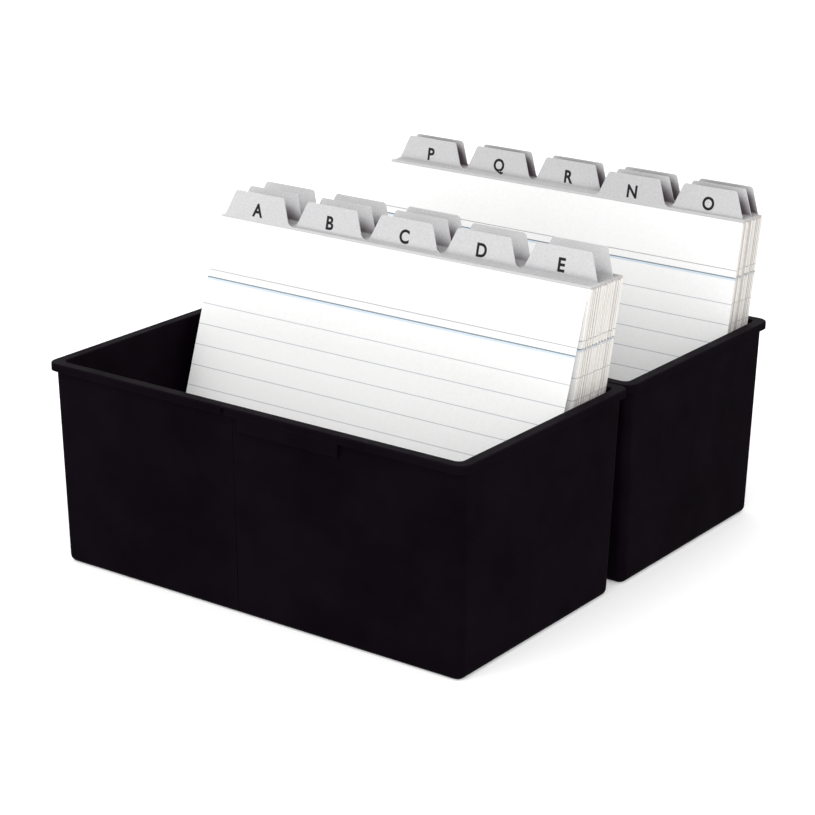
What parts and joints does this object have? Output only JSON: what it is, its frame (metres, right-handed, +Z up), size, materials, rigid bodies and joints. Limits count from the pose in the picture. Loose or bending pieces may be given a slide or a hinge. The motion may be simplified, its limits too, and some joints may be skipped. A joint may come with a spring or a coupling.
{
  "type": "card file",
  "caption": "Two open desk trays, one behind the other, holding ruled record cards that lean back between tabbed letter guides.",
  "frame": {"origin": "centre of the bounding box's base, on the surface that both trays stand on", "axes": "+X across the trays to the reader's right, +Y from the front tray to the rear one, +Z up"},
  "size_m": [0.164, 0.19, 0.1147],
  "materials": {
    "tray_plastic": "satin moulded",
    "guide_sheet": "matt",
    "record_card": "ruled card"
  },
  "bodies": {
    "front_tray": {"front_tray": "tray_plastic"},
    "rear_tray": {"rear_tray": "tray_plastic"},
    "leaning_card": {"leaning_card": "record_card"},
    "loose_cards_front": {"loose_cards_front": "record_card"},
    "cards_A": {"cards_A": "record_card"},
    "guide_A": {"guide_A": "guide_sheet"},
    "cards_B": {"cards_B": "record_card"},
    "guide_B": {"guide_B": "guide_sheet"},
    "cards_C": {"cards_C": "record_card"},
    "guide_C": {"guide_C": "guide_sheet"},
    "cards_D": {"cards_D": "record_card"},
    "guide_D": {"guide_D": "guide_sheet"},
    "cards_E": {"cards_E": "record_card"},
    "guide_E": {"guide_E": "guide_sheet"},
    "cards_F": {"cards_F": "record_card"},
    "guide_F": {"guide_F": "guide_sheet"},
    "cards_G": {"cards_G": "record_card"},
    "guide_G": {"guide_G": "guide_sheet"},
    "cards_H": {"cards_H": "record_card"},
    "guide_H": {"guide_H": "guide_sheet"},
    "cards_I": {"cards_I": "record_card"},
    "guide_I": {"guide_I": "guide_sheet"},
    "cards_J": {"cards_J": "record_card"},
    "guide_J": {"guide_J": "guide_sheet"},
    "cards_K": {"cards_K": "record_card"},
    "guide_K": {"guide_K": "guide_sheet"},
    "cards_L": {"cards_L": "record_card"},
    "guide_L": {"guide_L": "guide_sheet"},
    "cards_M": {"cards_M": "record_card"},
    "guide_M": {"guide_M": "guide_sheet"},
    "loose_cards_rear": {"loose_cards_rear": "record_card"},
    "cards_N": {"cards_N": "record_card"},
    "guide_N": {"guide_N": "guide_sheet"},
    "cards_O": {"cards_O": "record_card"},
    "guide_O": {"guide_O": "guide_sheet"},
    "cards_P": {"cards_P": "record_card"},
    "guide_P": {"guide_P": "guide_sheet"},
    "cards_Q": {"cards_Q": "record_card"},
    "guide_Q": {"guide_Q": "guide_sheet"},
    "cards_R": {"cards_R": "record_card"},
    "guide_R": {"guide_R": "guide_sheet"},
    "cards_S": {"cards_S": "record_card"},
    "guide_S": {"guide_S": "guide_sheet"},
    "cards_T": {"cards_T": "record_card"},
    "guide_T": {"guide_T": "guide_sheet"},
    "cards_U": {"cards_U": "record_card"},
    "guide_U": {"guide_U": "guide_sheet"},
    "cards_V": {"cards_V": "record_card"},
    "guide_V": {"guide_V": "guide_sheet"},
    "cards_W": {"cards_W": "record_card"},
    "guide_W": {"guide_W": "guide_sheet"},
    "cards_XY": {"cards_XY": "record_card"},
    "guide_XY": {"guide_XY": "guide_sheet"},
    "cards_Z": {"cards_Z": "record_card"},
    "guide_Z": {"guide_Z": "guide_sheet"}
  },
  "joints": [
    {"name": "rear_tray_pull", "type": "slide", "parent": "front_tray", "child": "rear_tray", "axis": [0, 1, 0], "range_m": [0, 0.06]},
    {"name": "leaning_card_tilt", "type": "hinge", "parent": "front_tray", "child": "leaning_card", "pos_m": [0, -0.05026, 0.0016], "axis": [1, 0, 0], "range_deg": [0, 40]},
    {"name": "loose_cards_front_tilt", "type": "hinge", "parent": "front_tray", "child": "loose_cards_front", "pos_m": [0, -0.04081, 0.0016], "axis": [1, 0, 0], "range_deg": [0, 26.01]},
    {"name": "cards_A_tilt", "type": "hinge", "parent": "front_tray", "child": "cards_A", "pos_m": [0, -0.04007, 0.0016], "axis": [1, 0, 0], "range_deg": [0, 24.15]},
    {"name": "guide_A_lift", "type": "slide", "parent": "cards_A", "child": "guide_A", "axis": [0, 0.2284, 0.9736], "range_m": [0, 0.11]},
    {"name": "cards_B_tilt", "type": "hinge", "parent": "front_tray", "child": "cards_B", "pos_m": [0, -0.03851, 0.0016], "axis": [1, 0, 0], "range_deg": [0, 22.29]},
    {"name": "guide_B_lift", "type": "slide", "parent": "cards_B", "child": "guide_B", "axis": [0, 0.2284, 0.9736], "range_m": [0, 0.11]},
    {"name": "cards_C_tilt", "type": "hinge", "parent": "front_tray", "child": "cards_C", "pos_m": [0, -0.03719, 0.0016], "axis": [1, 0, 0], "range_deg": [0, 20.44]},
    {"name": "guide_C_lift", "type": "slide", "parent": "cards_C", "child": "guide_C", "axis": [0, 0.2284, 0.9736], "range_m": [0, 0.11]},
    {"name": "cards_D_tilt", "type": "hinge", "parent": "front_tray", "child": "cards_D", "pos_m": [0, -0.03586, 0.0016], "axis": [1, 0, 0], "range_deg": [0, 18.58]},
    {"name": "guide_D_lift", "type": "slide", "parent": "cards_D", "child": "guide_D", "axis": [0, 0.2284, 0.9736], "range_m": [0, 0.11]},
    {"name": "cards_E_tilt", "type": "hinge", "parent": "front_tray", "child": "cards_E", "pos_m": [0, -0.03477, 0.0016], "axis": [1, 0, 0], "range_deg": [0, 16.73]},
    {"name": "guide_E_lift", "type": "slide", "parent": "cards_E", "child": "guide_E", "axis": [0, 0.2284, 0.9736], "range_m": [0, 0.11]},
    {"name": "cards_F_tilt", "type": "hinge", "parent": "front_tray", "child": "cards_F", "pos_m": [0, -0.03298, 0.0016], "axis": [1, 0, 0], "range_deg": [0, 14.87]},
    {"name": "guide_F_lift", "type": "slide", "parent": "cards_F", "child": "guide_F", "axis": [0, 0.2284, 0.9736], "range_m": [0, 0.11]},
    {"name": "cards_G_tilt", "type": "hinge", "parent": "front_tray", "child": "cards_G", "pos_m": [0, -0.03118, 0.0016], "axis": [1, 0, 0], "range_deg": [0, 13.01]},
    {"name": "guide_G_lift", "type": "slide", "parent": "cards_G", "child": "guide_G", "axis": [0, 0.2284, 0.9736], "range_m": [0, 0.11]},
    {"name": "cards_H_tilt", "type": "hinge", "parent": "front_tray", "child": "cards_H", "pos_m": [0, -0.02938, 0.0016], "axis": [1, 0, 0], "range_deg": [0, 11.15]},
    {"name": "guide_H_lift", "type": "slide", "parent": "cards_H", "child": "guide_H", "axis": [0, 0.2284, 0.9736], "range_m": [0, 0.11]},
    {"name": "cards_I_tilt", "type": "hinge", "parent": "front_tray", "child": "cards_I", "pos_m": [0, -0.02782, 0.0016], "axis": [1, 0, 0], "range_deg": [0, 9.29]},
    {"name": "guide_I_lift", "type": "slide", "parent": "cards_I", "child": "guide_I", "axis": [0, 0.2284, 0.9736], "range_m": [0, 0.11]},
    {"name": "cards_J_tilt", "type": "hinge", "parent": "front_tray", "child": "cards_J", "pos_m": [0, -0.02602, 0.0016], "axis": [1, 0, 0], "range_deg": [0, 7.44]},
    {"name": "guide_J_lift", "type": "slide", "parent": "cards_J", "child": "guide_J", "axis": [0, 0.2284, 0.9736], "range_m": [0, 0.11]},
    {"name": "cards_K_tilt", "type": "hinge", "parent": "front_tray", "child": "cards_K", "pos_m": [0, -0.02446, 0.0016], "axis": [1, 0, 0], "range_deg": [0, 5.58]},
    {"name": "guide_K_lift", "type": "slide", "parent": "cards_K", "child": "guide_K", "axis": [0, 0.2284, 0.9736], "range_m": [0, 0.11]},
    {"name": "cards_L_tilt", "type": "hinge", "parent": "front_tray", "child": "cards_L", "pos_m": [0, -0.02361, 0.0016], "axis": [1, 0, 0], "range_deg": [0, 3.73]},
    {"name": "guide_L_lift", "type": "slide", "parent": "cards_L", "child": "guide_L", "axis": [0, 0.2284, 0.9736], "range_m": [0, 0.11]},
    {"name": "cards_M_tilt", "type": "hinge", "parent": "front_tray", "child": "cards_M", "pos_m": [0, -0.02276, 0.0016], "axis": [1, 0, 0], "range_deg": [0, 1.87]},
    {"name": "guide_M_lift", "type": "slide", "parent": "cards_M", "child": "guide_M", "axis": [0, 0.2284, 0.9736], "range_m": [0, 0.11]},
    {"name": "loose_cards_rear_tilt", "type": "hinge", "parent": "rear_tray", "child": "loose_cards_rear", "pos_m": [0, 0.06272, 0.0016], "axis": [1, 0, 0], "range_deg": [0, 27]},
    {"name": "cards_N_tilt", "type": "hinge", "parent": "rear_tray", "child": "cards_N", "pos_m": [0, 0.06322, 0.0016], "axis": [1, 0, 0], "range_deg": [0, 24.93]},
    {"name": "guide_N_lift", "type": "slide", "parent": "cards_N", "child": "guide_N", "axis": [0, 0.1805, 0.9836], "range_m": [0, 0.11]},
    {"name": "cards_O_tilt", "type": "hinge", "parent": "rear_tray", "child": "cards_O", "pos_m": [0, 0.06453, 0.0016], "axis": [1, 0, 0], "range_deg": [0, 22.86]},
    {"name": "guide_O_lift", "type": "slide", "parent": "cards_O", "child": "guide_O", "axis": [0, 0.1805, 0.9836], "range_m": [0, 0.11]},
    {"name": "cards_P_tilt", "type": "hinge", "parent": "rear_tray", "child": "cards_P", "pos_m": [0, 0.06654, 0.0016], "axis": [1, 0, 0], "range_deg": [0, 20.78]},
    {"name": "guide_P_lift", "type": "slide", "parent": "cards_P", "child": "guide_P", "axis": [0, 0.1805, 0.9836], "range_m": [0, 0.11]},
    {"name": "cards_Q_tilt", "type": "hinge", "parent": "rear_tray", "child": "cards_Q", "pos_m": [0, 0.06739, 0.0016], "axis": [1, 0, 0], "range_deg": [0, 18.7]},
    {"name": "guide_Q_lift", "type": "slide", "parent": "cards_Q", "child": "guide_Q", "axis": [0, 0.1805, 0.9836], "range_m": [0, 0.11]},
    {"name": "cards_R_tilt", "type": "hinge", "parent": "rear_tray", "child": "cards_R", "pos_m": [0, 0.068, 0.0016], "axis": [1, 0, 0], "range_deg": [0, 16.63]},
    {"name": "guide_R_lift", "type": "slide", "parent": "cards_R", "child": "guide_R", "axis": [0, 0.1805, 0.9836], "range_m": [0, 0.11]},
    {"name": "cards_S_tilt", "type": "hinge", "parent": "rear_tray", "child": "cards_S", "pos_m": [0, 0.06884, 0.0016], "axis": [1, 0, 0], "range_deg": [0, 14.55]},
    {"name": "guide_S_lift", "type": "slide", "parent": "cards_S", "child": "guide_S", "axis": [0, 0.1805, 0.9836], "range_m": [0, 0.11]},
    {"name": "cards_T_tilt", "type": "hinge", "parent": "rear_tray", "child": "cards_T", "pos_m": [0, 0.06992, 0.0016], "axis": [1, 0, 0], "range_deg": [0, 12.47]},
    {"name": "guide_T_lift", "type": "slide", "parent": "cards_T", "child": "guide_T", "axis": [0, 0.1805, 0.9836], "range_m": [0, 0.11]},
    {"name": "cards_U_tilt", "type": "hinge", "parent": "rear_tray", "child": "cards_U", "pos_m": [0, 0.07053, 0.0016], "axis": [1, 0, 0], "range_deg": [0, 10.39]},
    {"name": "guide_U_lift", "type": "slide", "parent": "cards_U", "child": "guide_U", "axis": [0, 0.1805, 0.9836], "range_m": [0, 0.11]},
    {"name": "cards_V_tilt", "type": "hinge", "parent": "rear_tray", "child": "cards_V", "pos_m": [0, 0.07137, 0.0016], "axis": [1, 0, 0], "range_deg": [0, 8.32]},
    {"name": "guide_V_lift", "type": "slide", "parent": "cards_V", "child": "guide_V", "axis": [0, 0.1805, 0.9836], "range_m": [0, 0.11]},
    {"name": "cards_W_tilt", "type": "hinge", "parent": "rear_tray", "child": "cards_W", "pos_m": [0, 0.07222, 0.0016], "axis": [1, 0, 0], "range_deg": [0, 6.24]},
    {"name": "guide_W_lift", "type": "slide", "parent": "cards_W", "child": "guide_W", "axis": [0, 0.1805, 0.9836], "range_m": [0, 0.11]},
    {"name": "cards_XY_tilt", "type": "hinge", "parent": "rear_tray", "child": "cards_XY", "pos_m": [0, 0.07329, 0.0016], "axis": [1, 0, 0], "range_deg": [0, 4.16]},
    {"name": "guide_XY_lift", "type": "slide", "parent": "cards_XY", "child": "guide_XY", "axis": [0, 0.1805, 0.9836], "range_m": [0, 0.11]},
    {"name": "cards_Z_tilt", "type": "hinge", "parent": "rear_tray", "child": "cards_Z", "pos_m": [0, 0.0739, 0.0016], "axis": [1, 0, 0], "range_deg": [0, 2.09]},
    {"name": "guide_Z_lift", "type": "slide", "parent": "cards_Z", "child": "guide_Z", "axis": [0, 0.1805, 0.9836], "range_m": [0, 0.11]}
  ],
  "couplings": [
    {"joint": "loose_cards_front_tilt", "follows": "leaning_card_tilt", "ratio": 0.65},
    {"joint": "cards_A_tilt", "follows": "leaning_card_tilt", "ratio": 0.6036},
    {"joint": "cards_B_tilt", "follows": "leaning_card_tilt", "ratio": 0.5571},
    {"joint": "cards_C_tilt", "follows": "leaning_card_tilt", "ratio": 0.5107},
    {"joint": "cards_D_tilt", "follows": "leaning_card_tilt", "ratio": 0.4643},
    {"joint": "cards_E_tilt", "follows": "leaning_card_tilt", "ratio": 0.4179},
    {"joint": "cards_F_tilt", "follows": "leaning_card_tilt", "ratio": 0.3714},
    {"joint": "cards_G_tilt", "follows": "leaning_card_tilt", "ratio": 0.325},
    {"joint": "cards_H_tilt", "follows": "leaning_card_tilt", "ratio": 0.2786},
    {"joint": "cards_I_tilt", "follows": "leaning_card_tilt", "ratio": 0.2321},
    {"joint": "cards_J_tilt", "follows": "leaning_card_tilt", "ratio": 0.1857},
    {"joint": "cards_K_tilt", "follows": "leaning_card_tilt", "ratio": 0.1393},
    {"joint": "cards_L_tilt", "follows": "leaning_card_tilt", "ratio": 0.0929},
    {"joint": "cards_M_tilt", "follows": "leaning_card_tilt", "ratio": 0.0464},
    {"joint": "cards_N_tilt", "follows": "loose_cards_rear_tilt", "ratio": 0.9231},
    {"joint": "cards_O_tilt", "follows": "loose_cards_rear_tilt", "ratio": 0.8462},
    {"joint": "cards_P_tilt", "follows": "loose_cards_rear_tilt", "ratio": 0.7692},
    {"joint": "cards_Q_tilt", "follows": "loose_cards_rear_tilt", "ratio": 0.6923},
    {"joint": "cards_R_tilt", "follows": "loose_cards_rear_tilt", "ratio": 0.6154},
    {"joint": "cards_S_tilt", "follows": "loose_cards_rear_tilt", "ratio": 0.5385},
    {"joint": "cards_T_tilt", "follows": "loose_cards_rear_tilt", "ratio": 0.4615},
    {"joint": "cards_U_tilt", "follows": "loose_cards_rear_tilt", "ratio": 0.3846},
    {"joint": "cards_V_tilt", "follows": "loose_cards_rear_tilt", "ratio": 0.3077},
    {"joint": "cards_W_tilt", "follows": "loose_cards_rear_tilt", "ratio": 0.2308},
    {"joint": "cards_XY_tilt", "follows": "loose_cards_rear_tilt", "ratio": 0.1538},
    {"joint": "cards_Z_tilt", "follows": "loose_cards_rear_tilt", "ratio": 0.0769}
  ]
}
